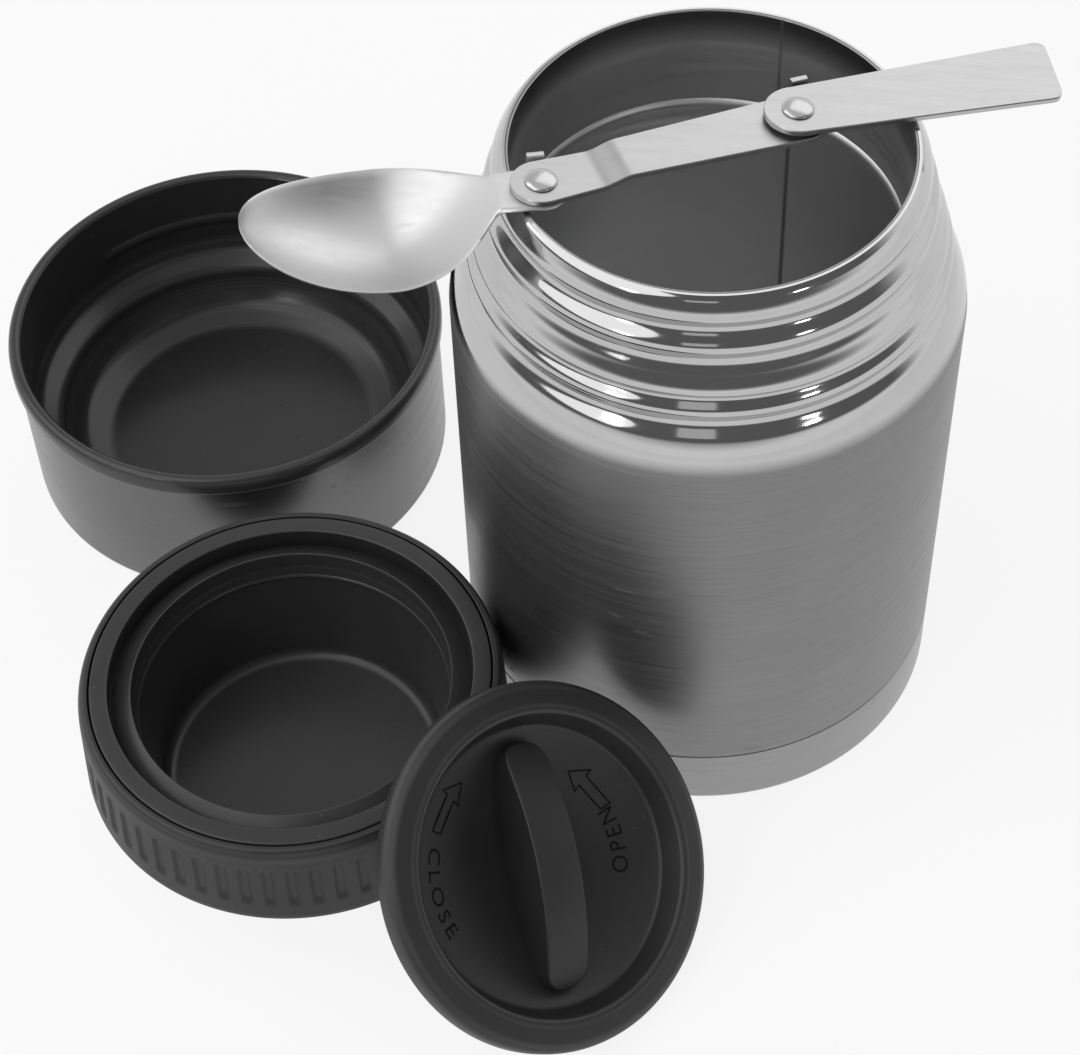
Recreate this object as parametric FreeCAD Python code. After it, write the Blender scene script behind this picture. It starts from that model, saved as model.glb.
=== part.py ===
import FreeCAD, Part
import math
import os

# Insulated food jar with its cup, stopper cap, twist lid and folding spoon, laid out as photographed.
# Millimetres. +Z is up. The origin is the centre of the jar's underside.

# Jar
bodyRadius = 50.0
mouthHeight = 141.1
sheet = 0.8
baseSeam = 15.6
seamGap = 0.2
baseCorner = 1.2
lipOuter = bodyRadius - 11.6
lipWeld = lipOuter - 0.5
mouthInner = lipOuter - 1.1
neckBottom = mouthHeight - 37.1
vesselInner = bodyRadius - 4.4
vesselSheet = 0.6
vesselFloor = 12.6
vesselCorner = 5.0
beadHeight = mouthHeight - 24.1
vesselShoulder = mouthHeight - 34.1
vacuumPlate = 7.0
skirtRadius = bodyRadius - 1.0
# The rolled neck from the lip down to the shoulder: how far in from the body, and how far below the lip.
neckSteps = [(10.6, 1.2), (9.3, 3.9), (9.8, 6.7), (7.6, 9.8), (8.2, 12.9), (6.8, 15.5),
             (5.1, 18.5), (5.5, 20.2), (3.9, 22.7), (4.7, 25.7), (2.6, 28.8), (0.7, 32.9)]
neckLine = [(bodyRadius - inset, mouthHeight - drop) for inset, drop in neckSteps]
padBore = 8.0
padRadius = bodyRadius - 12.5
grooveInner = bodyRadius - 12.0
grooveOuter = bodyRadius - 6.0
grooveDeep = 0.7
getterRadius = 5.0
getterReach = bodyRadius - 26.0

# Cup
cupRadius = bodyRadius - 2.1
cupHeight = 40.4
cupFlangeRadius = cupRadius + 1.0
cupFlangeDepth = 4.0
cupWall = 0.6
cupInner = cupRadius - 1.9
cupWaist = cupInner - 5.5
cupFloor = 4.6
cupFloorFlat = cupWaist - 9.5
cupStep = 15.0
linerWall = 1.4
cupLugHeight = 27.0
cupBearing = 156.01
cupReach = bodyRadius + cupFlangeRadius + 19.64
cupX = cupReach * math.cos(math.radians(cupBearing))
cupY = cupReach * math.sin(math.radians(cupBearing))

# Stopper cap
skirtBottom = 15.0
skirtTop = 37.2
skirtLow = bodyRadius - 5.4
skirtHigh = skirtLow - 1.3
skirtInner = skirtLow - 1.7
lipGap = 0.35
deckOuter = skirtInner - 1.9
deckInner = deckOuter - 3.75
deckHeight = 37.3
seatLow = 32.5
seatHigh = 35.3
cavityTop = deckInner - 4.55
cavityBottom = cavityTop - 3.3
cavityFloor = 4.2
ringHeight = 28.2
panRadius = mouthInner - 0.9
panTop = 28.0
panSheet = 0.6
standGap = 0.387
capBearing = -149.93
capReach = bodyRadius + skirtLow + standGap
capX = capReach * math.cos(math.radians(capBearing))
capY = capReach * math.sin(math.radians(capBearing))
fluteCount = 58
fluteLow = 20.4
fluteHigh = 31.8
fluteWide = 2.3
fluteDeep = 0.5
sealInner = panRadius + 0.3
sealOuter = sealInner + 3.7
sealLow = panTop + 1.0
sealHigh = panTop + 3.0

# Twist lid, in its own frame: the rim's face is z = 0 and the face looks along +z
lidRadius = deckInner - 0.65
lidEdge = 4.2
wellRadius = lidRadius - 6.6
wellCrown = 0.9
wellFloorRadius = wellRadius - 2.1
wellDepth = 4.2
dishDepth = 10.2
lidSkin = 1.7
lidSkirt = cavityTop - 0.8
skirtDepth = 8.2
coverSheet = 1.0
coverFlat = wellRadius * 0.467
coverRim = lidSkirt - 4.9
barHalf = wellFloorRadius - 3.2
barWide = 9.6
barEnd = -3.4
barCrown = 2.7
barTurn = -30.3
lidAzimuth = -35.5
lidLean = 42.3
# Where the lid leans: its centre, along and across its own bearing from the stopper's centre
lidAlong = skirtLow + 22.14
lidAcross = 1.915
lidX = capX + lidAlong * math.cos(math.radians(lidAzimuth)) - lidAcross * math.sin(math.radians(lidAzimuth))
lidY = capY + lidAlong * math.sin(math.radians(lidAzimuth)) + lidAcross * math.cos(math.radians(lidAzimuth))

# Folding spoon, in its own frame: first rivet at the origin, links run along +x
spoonX = -30.5
spoonY = -13.5
spoonZ = mouthHeight + 0.1
spoonTurn = 23.6
spoonDip = 3.45
bowlTurn = -10.0
handleTurn = -5.0
strap = 1.2
runGap = 0.1
joggle = 1.5
linkReach = 50.1
handleReach = 50.4
linkHalf = 5.6
linkWaist = 5.0
linkFar = 6.3
handleNear = 6.3
handleFar = 8.1
washerThick = 0.6
rivetRadius = 1.9
rivetPlay = 0.05
rivetHead = 3.0
headHeight = 0.9
footHeight = 0.3
bowlHalf = 16.1
bowlMiddle = -29.0
bowlTip = 25.6
bowlNeck = -8.0
neckHalf = 5.2
bowlDepth = 7.2
bowlDrop = 6.2
tipDrop = 1.5
bowlSheet = 0.9
tabLong = 3.2
tabThick = 1.4
bowlTabX = -1.4
bowlTabClear = 0.9
linkTabX = 1.8
linkTabClear = 0.5

up = FreeCAD.Vector(0, 0, 1)
zero = FreeCAD.Vector(0, 0, 0)


def vec(x, y, z):
    return FreeCAD.Vector(x, y, z)


def turned(points):
    """A full turn of a closed outline of (radius, height) points about Z."""
    wire = Part.makePolygon([vec(r, 0, z) for r, z in points + points[:1]])
    return Part.Face(wire).revolve(zero, up, 360)


def ring(inner, outer, low, high):
    return turned([(inner, low), (outer, low), (outer, high), (inner, high)])


def disc(radius, low, high):
    return Part.makeCylinder(radius, high - low, vec(0, 0, low))


def moved(shape, x, y, z):
    copy = shape.copy()
    copy.translate(vec(x, y, z))
    return copy


def bump(radius, z, reach, half):
    """A ring with a rounded nose on the inside or outside of a wall."""
    nose = Part.Arc(vec(radius, 0, z - half), vec(radius + reach, 0, z), vec(radius, 0, z + half)).toShape()
    back = radius - 0.3 * (1 if reach > 0 else -1)
    line = Part.makePolygon([vec(radius, 0, z + half), vec(back, 0, z + half),
                             vec(back, 0, z - half), vec(radius, 0, z - half)])
    return Part.Face(Part.Wire([nose] + line.Edges)).revolve(zero, up, 360)


def arcs(shape, low, high, count, share, radius):
    """Keeps equal sectors of a ring, so that it becomes thread lugs."""
    keep = []
    for i in range(count):
        start = 360.0 * i / count
        wedge = Part.makeCylinder(radius, high - low, vec(0, 0, low), up, 360.0 * share / count)
        wedge.rotate(zero, up, start)
        keep.append(wedge)
    return shape.common(Part.makeCompound(keep))


def splineEdge(points):
    curve = Part.BSplineCurve()
    curve.interpolate([vec(r, 0, z) for r, z in points])
    return curve.toShape()


def outerShell():
    top = [(lipOuter, mouthHeight)] + neckLine + [(bodyRadius, neckBottom)]
    inside = [(lipWeld, mouthHeight), (lipWeld, mouthHeight - 1.6)]
    inside += [(r - sheet, z) for r, z in neckLine[1:]] + [(bodyRadius - sheet, neckBottom)]
    seam = baseSeam + seamGap
    body = [(bodyRadius, neckBottom), (bodyRadius, seam), (skirtRadius, seam), (skirtRadius, vacuumPlate),
            (skirtRadius - sheet, vacuumPlate), (skirtRadius - sheet, seam + sheet),
            (bodyRadius - sheet, seam + sheet), (bodyRadius - sheet, neckBottom)]
    edges = [splineEdge(top)]
    edges += Part.makePolygon([vec(r, 0, z) for r, z in body]).Edges
    edges.append(splineEdge(inside[1:]))
    edges += Part.makePolygon([vec(r, 0, z) for r, z in [inside[1], inside[0], (lipOuter, mouthHeight)]]).Edges
    wire = Part.Wire(Part.__sortEdges__(edges))
    return Part.Face(wire).revolve(zero, up, 360)


def innerVessel():
    outer = mouthInner + vesselSheet
    wide = vesselInner + vesselSheet
    low = vesselFloor - vesselSheet
    corner = vesselCorner + 0.2
    profile = [(mouthInner, mouthHeight), (outer, mouthHeight), (outer, beadHeight - 1),
               (wide, vesselShoulder), (wide, low + vesselCorner), (wide - vesselCorner, low), (0, low),
               (0, vesselFloor), (wide - corner, vesselFloor), (vesselInner, low + corner),
               (vesselInner, vesselShoulder),
               (mouthInner, beadHeight - 1.3), (mouthInner, beadHeight - 1)]
    vessel = turned(profile)
    return vessel.fuse(bump(mouthInner, beadHeight + 0.6, -0.7, 1.3)).removeSplitter()


def heatShield():
    radius = vesselInner + vesselSheet + 0.8
    return ring(radius, radius + 0.15, vesselFloor + 10, vesselShoulder - 8)


def vacuumDisc():
    radius = skirtRadius - sheet
    floor = vacuumPlate
    plate = turned([(2.0, floor + 1.2), (5.0, floor + 1.2), (6.5, floor), (radius, floor),
                    (radius, floor + 3), (radius - sheet, floor + 3), (radius - sheet, floor + sheet),
                    (6.9, floor + sheet), (5.4, floor + 2), (2.0, floor + 2)])
    return plate


def baseCap():
    outer = bodyRadius
    inner = skirtRadius + 0.05
    foot = outer - baseCorner
    top = grooveDeep + sheet
    return turned([(0, 0), (grooveInner, 0), (grooveInner + 0.9, grooveDeep), (grooveOuter - 0.9, grooveDeep),
                   (grooveOuter, 0), (foot, 0), (outer, baseCorner), (outer, baseSeam), (inner, baseSeam),
                   (inner, sheet + 1.0), (inner - 1.0, sheet), (grooveOuter + 0.2, sheet),
                   (grooveOuter - 0.7, top), (grooveInner + 0.7, top), (grooveInner - 0.2, sheet), (0, sheet)])


def cupShell():
    outer = cupRadius
    inner = outer - cupWall
    top = cupHeight - cupFlangeDepth
    return turned([(0, 1.0), (outer - 9, 1.0), (outer - 8, 0), (outer - 2, 0), (outer, 2.0), (outer, top),
                   (inner, top), (inner, 2.3), (outer - 2.3, cupWall), (outer - 7.7, cupWall),
                   (outer - 8.7, 1.0 + cupWall), (0, 1.0 + cupWall)])


def cupLiner():
    flange = cupHeight - cupFlangeDepth + 0.05
    wall = cupRadius - cupWall - 0.05
    floor = cupFloor
    flat = cupFloorFlat
    body = turned([(0, floor), (flat, floor), (flat + 5.5, floor + 1.8), (cupWaist - 0.6, floor + 6.5),
                   (cupWaist, cupStep), (cupInner - 1.2, cupStep + 2.5), (cupInner, cupStep + 5.0),
                   (cupInner, cupHeight - 0.8),
                   (cupInner + 0.6, cupHeight), (cupFlangeRadius - 1.0, cupHeight),
                   (cupFlangeRadius, cupHeight - 1.0), (cupFlangeRadius, flange), (wall, flange),
                   (wall, cupStep + 2.0), (cupWaist + linerWall, cupStep - 1.0),
                   (cupWaist + linerWall - 1, floor + 4.5), (flat + 6.0, floor - linerWall + 1.2),
                   (flat + 0.4, floor - linerWall), (0, floor - linerWall)])
    lugs = bump(cupInner, cupLugHeight, -0.7, 1.4)
    lugs = arcs(lugs, cupLugHeight - 3, cupLugHeight + 3, 4, 0.55, cupInner + 2)
    return body.fuse(lugs).removeSplitter()


def capCollar():
    wall = turned([(skirtInner, skirtBottom), (skirtLow - 0.6, skirtBottom), (skirtLow, skirtBottom + 0.8),
                   (skirtHigh + 0.25, skirtTop - 2.4), (skirtHigh - 0.3, skirtTop - 0.7),
                   (skirtHigh - 1.0, skirtTop), (deckOuter + lipGap, skirtTop),
                   (deckOuter + lipGap, skirtTop - 3.4), (skirtInner - 1.1, skirtTop - 4.2),
                   (skirtInner - 1.1, sealHigh - 0.6), (skirtInner, sealHigh - 1.4)])
    height = skirtBottom + 5.0
    lugs = arcs(bump(skirtInner, height, -0.45, 1.3), height - 2, height + 2, 3, 0.6, skirtInner + 1)
    cuts = []
    for i in range(fluteCount):
        face = skirtLow - 0.35
        slot = Part.makeBox(2.0, fluteWide, fluteHigh - fluteLow, vec(face - fluteDeep, -fluteWide / 2, fluteLow))
        slot.rotate(vec(face, 0, fluteLow), vec(0, 1, 0), -3.2)
        slot.rotate(zero, up, 360.0 * i / fluteCount)
        cuts.append(slot)
    return wall.fuse(lugs).cut(Part.makeCompound(cuts)).removeSplitter()


def capDeck():
    low = seatLow - 1.4
    return turned([(deckInner, seatLow), (deckInner, deckHeight - 0.3), (deckInner + 0.3, deckHeight),
                   (deckOuter - 0.3, deckHeight), (deckOuter, deckHeight - 0.3), (deckOuter, skirtTop - 4.4),
                   (skirtInner - 1.15, skirtTop - 4.5), (skirtInner - 1.15, low), (cavityTop + 1.6, low),
                   (cavityTop + 1.6, seatLow)])


def capCompartment():
    wall = 1.5
    throat = cavityTop - 0.5
    body = turned([(0, cavityFloor), (cavityBottom - 1.2, cavityFloor), (cavityBottom, cavityFloor + 1.2),
                   (throat, ringHeight + 0.8), (cavityTop, ringHeight + 2.8), (cavityTop, seatHigh),
                   (deckInner - 0.1, seatLow + 0.05), (cavityTop + wall, seatLow + 0.05),
                   (cavityTop + wall, ringHeight + 2.4), (throat + wall, ringHeight + 1.2),
                   (cavityBottom + wall, cavityFloor - 0.2), (cavityBottom, cavityFloor - wall),
                   (0, cavityFloor - wall)])
    return body.fuse(bump(throat + 0.15, ringHeight, -0.5, 0.7)).removeSplitter()


def steelPan():
    inner = panRadius - panSheet
    foot = panRadius - 10.4
    return turned([(0, 1.0), (foot - 2.0, 1.0), (foot, 0), (panRadius - 1.6, 0), (panRadius, 1.6),
                   (panRadius, panTop), (inner, panTop), (inner, 1.9), (panRadius - 1.9, panSheet),
                   (foot + 0.3, panSheet), (foot - 1.7, 1.0 + panSheet), (0, 1.0 + panSheet)])


def capFoam():
    low = cavityFloor + 1.8
    return turned([(cavityBottom + 2.1, low), (panRadius - panSheet - 0.2, low),
                   (panRadius - panSheet - 0.2, panTop - 0.5), (cavityTop + 1.5, panTop - 0.5)])


def mouthSeal():
    return ring(sealInner, sealOuter, sealLow, sealHigh)


def plugCollar():
    low = panTop + 0.05
    return turned([(cavityTop + 1.45, low), (panRadius, low), (panRadius, seatLow - 1.45),
                   (cavityTop + 1.65, seatLow - 1.45), (cavityTop + 1.65, ringHeight + 2.3),
                   (cavityTop + 1.45, ringHeight + 1.7)])


def lidFrame(shape):
    """From the lid's own frame to its leaning place, rim edge on the floor."""
    lift = lidRadius * math.sin(math.radians(lidLean)) + lidEdge * math.cos(math.radians(lidLean))
    copy = shape.copy()
    copy.rotate(zero, vec(0, 1, 0), lidLean)
    copy.rotate(zero, up, lidAzimuth)
    copy.translate(vec(lidX, lidY, lift))
    return copy


def dishLine(offset):
    """The dished well floor as an arc from the axis to the foot of its wall."""
    middle = wellFloorRadius * 0.5
    sag = (dishDepth - wellDepth) * 0.25
    return Part.Arc(vec(0, 0, -dishDepth - offset), vec(middle, 0, -dishDepth + sag - offset),
                    vec(wellFloorRadius, 0, -wellDepth - offset)).toShape()


def lidTop():
    line = [(wellFloorRadius, -wellDepth), (wellRadius, wellCrown), (wellRadius + 1.2, wellCrown + 0.1),
            (lidRadius - 1.4, 0.35), (lidRadius - 0.3, -0.4), (lidRadius, -1.4), (lidRadius, -lidEdge),
            (lidRadius - 0.6, -lidEdge), (lidSkirt + 1.1, -2.2), (lidSkirt, -2.2), (lidSkirt, -skirtDepth),
            (lidSkirt - 1.4, -skirtDepth), (lidSkirt - 1.4, -wellDepth - lidSkin),
            (wellFloorRadius, -wellDepth - lidSkin)]
    rim = Part.makePolygon([vec(r, 0, z) for r, z in line])
    shaft = Part.makeLine(vec(0, 0, -dishDepth - lidSkin), vec(0, 0, -dishDepth))
    wire = Part.Wire(Part.__sortEdges__([dishLine(0)] + rim.Edges + [dishLine(lidSkin), shaft]))
    body = Part.Face(wire).revolve(zero, up, 360)
    return body.fuse(lidBar()).removeSplitter()


def lidBar():
    arch = Part.Arc(vec(-barHalf, 0, barEnd), vec(0, 0, barCrown), vec(barHalf, 0, barEnd)).toShape()
    deep = -dishDepth - 3
    frame = Part.makePolygon([vec(barHalf, 0, barEnd), vec(barHalf, 0, deep),
                              vec(-barHalf, 0, deep), vec(-barHalf, 0, barEnd)])
    wire = Part.Wire(Part.__sortEdges__([arch] + frame.Edges))
    bar = Part.Face(wire).extrude(vec(0, barWide, 0))
    bar.translate(vec(0, -barWide / 2, 0))
    uprights = [e for e in bar.Edges if abs(e.Length - (barEnd - deep)) < 1e-6]
    bar = bar.makeFillet(2.4, uprights)
    bar.rotate(zero, up, barTurn)
    low = Part.makeLine(vec(0, 0, 6), vec(0, 0, -dishDepth - lidSkin / 2))
    side = Part.makePolygon([vec(wellFloorRadius, 0, -wellDepth - lidSkin / 2), vec(wellFloorRadius, 0, 6),
                             vec(0, 0, 6)])
    wire = Part.Wire(Part.__sortEdges__([dishLine(lidSkin / 2), low] + side.Edges))
    return bar.common(Part.Face(wire).revolve(zero, up, 360))


def lidCover():
    outer = lidSkirt - 1.45
    under = -dishDepth - lidSkin - 0.4
    edge = coverSheet - skirtDepth
    return turned([(0, under), (coverFlat, under + 1.1), (coverRim, edge), (outer, edge), (outer, -skirtDepth),
                   (coverRim - 0.4, -skirtDepth), (coverFlat - 0.4, under + 1.1 - coverSheet),
                   (0, under - coverSheet)])


def lidSeal():
    middle = 2.2 - skirtDepth
    return turned([(lidSkirt, middle - 1.4), (lidSkirt + 0.5, middle - 0.8), (lidSkirt + 0.5, middle + 0.8),
                   (lidSkirt, middle + 1.4)])


def spoonFrame(shape):
    """From the spoon's own frame to its place across the mouth."""
    copy = shape.copy()
    copy.rotate(zero, vec(0, 1, 0), spoonDip)
    copy.rotate(zero, up, spoonTurn)
    copy.translate(vec(spoonX, spoonY, spoonZ))
    return copy


def bowlSection(x):
    """Crescent across the bowl: half ellipses in plan, a cosine in depth and drop towards the neck."""
    back = (bowlMiddle - x) / bowlTip
    if x <= bowlMiddle:
        half = bowlHalf * math.sqrt(max(1 - back * back, 0.0016))
        depth = bowlDepth * half / bowlHalf
        drop = tipDrop + (bowlDrop - tipDrop) * (1 - back * back)
    else:
        share = (x - bowlMiddle) / (bowlNeck - bowlMiddle)
        blend = 0.5 * (1 + math.cos(math.pi * share))
        oval = bowlHalf * math.sqrt(max(1 - share * share, 0))
        half = (neckHalf ** 4 + oval ** 4) ** 0.25
        depth = bowlDepth * blend + 0.03
        drop = bowlDrop * blend
    top = strap - drop
    inner = Part.Arc(vec(x, -half, top), vec(x, 0, top - depth), vec(x, half, top)).toShape()
    outer = Part.Arc(vec(x, half, top - bowlSheet), vec(x, 0, top - depth - bowlSheet),
                     vec(x, -half, top - bowlSheet)).toShape()
    right = Part.makeLine(vec(x, half, top), vec(x, half, top - bowlSheet))
    left = Part.makeLine(vec(x, -half, top - bowlSheet), vec(x, -half, top))
    return Part.Wire([inner, right, outer, left])


def spoonBowl():
    tip = bowlMiddle - bowlTip
    stations = [tip + 0.1, tip + 1.2, tip + 4, tip + 9, tip + 17, bowlMiddle, -23.5, -18.5, -14.5,
                -11.5, -9.6, -8.6, bowlNeck]
    bowl = Part.makeLoft([bowlSection(x) for x in stations], True, False)
    neck = Part.makeBox(-bowlNeck + 0.02, 2 * neckHalf, strap, vec(bowlNeck - 0.02, -neckHalf, 0))
    eye = disc(linkHalf, 0, strap)
    outer = linkHalf + bowlTabClear
    stop = Part.makeBox(tabLong, tabThick, strap + 1.4, vec(bowlTabX, outer, 0))
    root = Part.makeBox(tabLong, bowlTabClear + 2.0, strap, vec(bowlTabX, linkHalf - 1.6, 0))
    body = bowl.fuse([neck, eye, stop, root]).cut(disc(rivetRadius, -1, strap + 1))
    body.rotate(zero, up, bowlTurn)
    return body.removeSplitter()


def spoonLink():
    low = strap + runGap
    high = low + joggle
    start = [(0, low), (10, low), (16, high), (linkReach, high)]
    side = [vec(x, 0, z) for x, z in start] + [vec(x, 0, z + strap) for x, z in reversed(start)]
    sheetBody = Part.Face(Part.makePolygon(side + side[:1])).extrude(vec(0, 40, 0))
    sheetBody.translate(vec(0, -20, 0))
    plan = [(0, -linkHalf), (12, -linkWaist), (linkReach, -linkFar), (linkReach, linkFar), (12, linkWaist),
            (0, linkHalf)]
    outline = Part.Face(Part.makePolygon([vec(x, y, 0) for x, y in plan + plan[:1]])).extrude(vec(0, 0, 10))
    body = sheetBody.common(outline)
    body = body.fuse([disc(linkHalf, low, low + strap), moved(disc(linkFar, high, high + strap), linkReach, 0, 0)])
    outer = linkFar + linkTabClear
    tall = strap + washerThick + strap + 0.5
    stop = Part.makeBox(tabLong, tabThick, tall, vec(linkReach + linkTabX, outer, high))
    root = Part.makeBox(tabLong, linkTabClear + 3.6, strap, vec(linkReach + linkTabX, linkFar - 3.4, high))
    body = body.fuse([stop, root])
    body = body.cut([disc(rivetRadius + rivetPlay, 0, 8), moved(disc(rivetRadius, 0, 8), linkReach, 0, 0)])
    return body.removeSplitter()


def handleLow():
    return strap + runGap + joggle + strap + washerThick + 2 * runGap


def spoonHandle():
    low = handleLow()
    plan = [(0, -handleNear), (handleReach - 1, -handleFar), (handleReach + 1.2, handleFar), (0, handleNear)]
    plate = Part.Face(Part.makePolygon([vec(x, y, low) for x, y in plan + plan[:1]])).extrude(vec(0, 0, strap))
    corners = [e for e in plate.Edges if abs(e.Length - strap) < 1e-6 and e.BoundBox.XMin > 10]
    plate = plate.makeFillet(2.2, corners)
    body = plate.fuse(disc(handleNear, low, low + strap)).cut(disc(rivetRadius + rivetPlay, 0, 12))
    body.rotate(zero, up, handleTurn)
    body.translate(vec(linkReach, 0, 0))
    return body.removeSplitter()


def rivet(low, high):
    """Shank with a domed head above and a flat closed head below."""
    foot = low - 0.05
    top = high + runGap
    curve = (headHeight ** 2 + rivetHead ** 2) / (2 * headHeight)
    ball = Part.makeSphere(curve, vec(0, 0, top + headHeight - curve))
    head = disc(rivetHead, top, top + 2 * headHeight).common(ball)
    shank = disc(rivetRadius, foot - footHeight / 2, top + 0.1)
    return head.fuse([shank, disc(rivetHead, foot - footHeight, foot)]).removeSplitter()


def linkRivet():
    return rivet(0, 2 * strap + runGap)


def handleRivet():
    return moved(rivet(strap + runGap + joggle, handleLow() + strap), linkReach, 0, 0)


def springWasher():
    low = 2 * strap + 2 * runGap + joggle
    return moved(ring(rivetRadius + 0.02, 4.2, low, low + washerThick), linkReach, 0, 0)


def getter():
    return moved(disc(getterRadius, vacuumPlate + sheet, vacuumPlate + sheet + 2.4), getterReach, 0, 0)


def allParts():
    """Every node name with its solid in place."""
    parts = {
        "outer_shell": outerShell(),
        "inner_vessel": innerVessel(),
        "heat_shield": heatShield(),
        "vacuum_plate": vacuumDisc(),
        "seal_plug": disc(2.0, vacuumPlate + 1.2, vacuumPlate + 2.0),
        "getter_pill": getter(),
        "base_cap": baseCap(),
        "base_pad": ring(padBore, padRadius, sheet + 0.05, vacuumPlate - 0.05),
    }
    for name, shape in (("cup_shell", cupShell()), ("cup_liner", cupLiner())):
        parts[name] = moved(shape, cupX, cupY, 0)
    stopper = (("cap_collar", capCollar()), ("cap_deck", capDeck()), ("cap_compartment", capCompartment()),
               ("cap_pan", steelPan()), ("cap_foam", capFoam()), ("cap_plug_collar", plugCollar()),
               ("cap_mouth_seal", mouthSeal()))
    for name, shape in stopper:
        parts[name] = moved(shape, capX, capY, 0)
    for name, shape in (("lid_top", lidTop()), ("lid_cover", lidCover()), ("lid_seal", lidSeal())):
        parts[name] = lidFrame(shape)
    spoon = (("spoon_bowl", spoonBowl()), ("spoon_link", spoonLink()), ("spoon_handle", spoonHandle()),
             ("link_rivet", linkRivet()), ("handle_rivet", handleRivet()), ("spring_washer", springWasher()))
    for name, shape in spoon:
        parts[name] = spoonFrame(shape)
    return parts


os.makedirs("parts", exist_ok=True)
for name, shape in allParts().items():
    print(name, len(shape.Solids), round(shape.Volume, 1), shape.isValid())
    solid = shape.Solids[0] if len(shape.Solids) == 1 else shape
    solid.exportStep("parts/" + name + ".step")
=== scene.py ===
from math import ceil, cos, pi, radians, sin
import bpy
import numpy as np
from mathutils import Matrix, Vector


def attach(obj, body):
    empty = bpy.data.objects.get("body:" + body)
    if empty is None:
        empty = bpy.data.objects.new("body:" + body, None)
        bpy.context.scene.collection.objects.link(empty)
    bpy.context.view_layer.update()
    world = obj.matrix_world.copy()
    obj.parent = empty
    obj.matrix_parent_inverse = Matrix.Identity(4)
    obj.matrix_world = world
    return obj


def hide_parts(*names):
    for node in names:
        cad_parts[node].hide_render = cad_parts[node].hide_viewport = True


# The scene is in metres. Settings are in millimetres and become metres when a mesh is made.
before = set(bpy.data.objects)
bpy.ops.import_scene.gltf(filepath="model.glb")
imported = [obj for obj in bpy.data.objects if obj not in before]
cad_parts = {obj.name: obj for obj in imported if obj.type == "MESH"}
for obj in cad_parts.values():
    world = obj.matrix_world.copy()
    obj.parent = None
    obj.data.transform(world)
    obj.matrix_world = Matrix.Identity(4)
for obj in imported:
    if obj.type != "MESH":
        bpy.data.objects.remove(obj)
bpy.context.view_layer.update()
mm = 0.001
onAxis = 1e-6  # a radius below this is a pole of a turned piece
standing = {"jar": (0, 0, 0), "cup": (-108.3, 48.2, 0), "cap": (-82.2, -47.6, 0)}
lidPlace = {"x": -26.75, "y": -84.8, "radius": 36.6, "edge": 4.2, "azimuth": -35.5, "lean": 42.3}
spoonPlace = {"x": -30.5, "y": -13.5, "z": 141.2, "turn": 23.6, "dip": 3.45}


def turnBy(degrees, axis):
    return Matrix.Rotation(radians(degrees), 4, axis)


def placeOf(body):
    # The matrix from a body's own frame to its place at rest, in millimetres
    if body == "lid":
        lean = radians(lidPlace["lean"])
        lift = lidPlace["radius"] * sin(lean) + lidPlace["edge"] * cos(lean)
        move = Matrix.Translation((lidPlace["x"], lidPlace["y"], lift))
        return move @ turnBy(lidPlace["azimuth"], "Z") @ turnBy(lidPlace["lean"], "Y")
    if body in ("spoon", "link", "handle"):
        move = Matrix.Translation((spoonPlace["x"], spoonPlace["y"], spoonPlace["z"]))
        return move @ turnBy(spoonPlace["turn"], "Z") @ turnBy(spoonPlace["dip"], "Y")
    return Matrix.Translation(standing[body])


def newObject(name, data):
    obj = bpy.data.objects.new(name, data)
    bpy.context.scene.collection.objects.link(obj)
    return obj


def makeMesh(name, chunks, body, node, material, crease=32, local=None, marks=None):
    # Joins (points, faces) chunks, drops unused points and sends them from the body's frame to its place.
    # marks are values at the points, which become attributes that the materials read.
    place = placeOf(body) if local is None else placeOf(body) @ local
    m = np.array(place)
    points, faces, start = [], [], 0
    for chunkPoints, chunkFaces in chunks:
        points.append(chunkPoints)
        faces += [f + start for f in chunkFaces]
        start += len(chunkPoints)
    points = np.concatenate(points)
    used = np.unique(np.concatenate([f.ravel() for f in faces]))
    index = np.zeros(len(points), int)
    index[used] = np.arange(len(used))
    world = (points[used] @ m[:3, :3].T + m[:3, 3]) * mm
    mesh = bpy.data.meshes.new(name)
    mesh.from_pydata(world.tolist(), [], [row for f in faces for row in index[f].tolist()])
    mesh.polygons.foreach_set("use_smooth", np.ones(len(mesh.polygons), bool))
    mesh.set_sharp_from_angle(angle=radians(crease))
    for mark, values in (marks or {}).items():
        layer = mesh.attributes.new(mark, "FLOAT", "POINT")
        layer.data.foreach_set("value", values.ravel()[used].astype(np.float32))
    mesh.materials.append(material)
    obj = newObject(name, mesh)
    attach(obj, body)
    if node:
        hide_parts(node)


def gridFaces(rows, cols, wrapRows=False, wrapCols=True):
    # Quads of a rows x cols grid of points, closed where asked
    a, b = np.meshgrid(np.arange(rows if wrapRows else rows - 1),
                       np.arange(cols if wrapCols else cols - 1), indexing="ij")
    a2 = (a + 1) % rows
    b2 = (b + 1) % cols
    return np.stack([a * cols + b, a * cols + b2, a2 * cols + b2, a2 * cols + b], -1).reshape(-1, 4)


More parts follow.
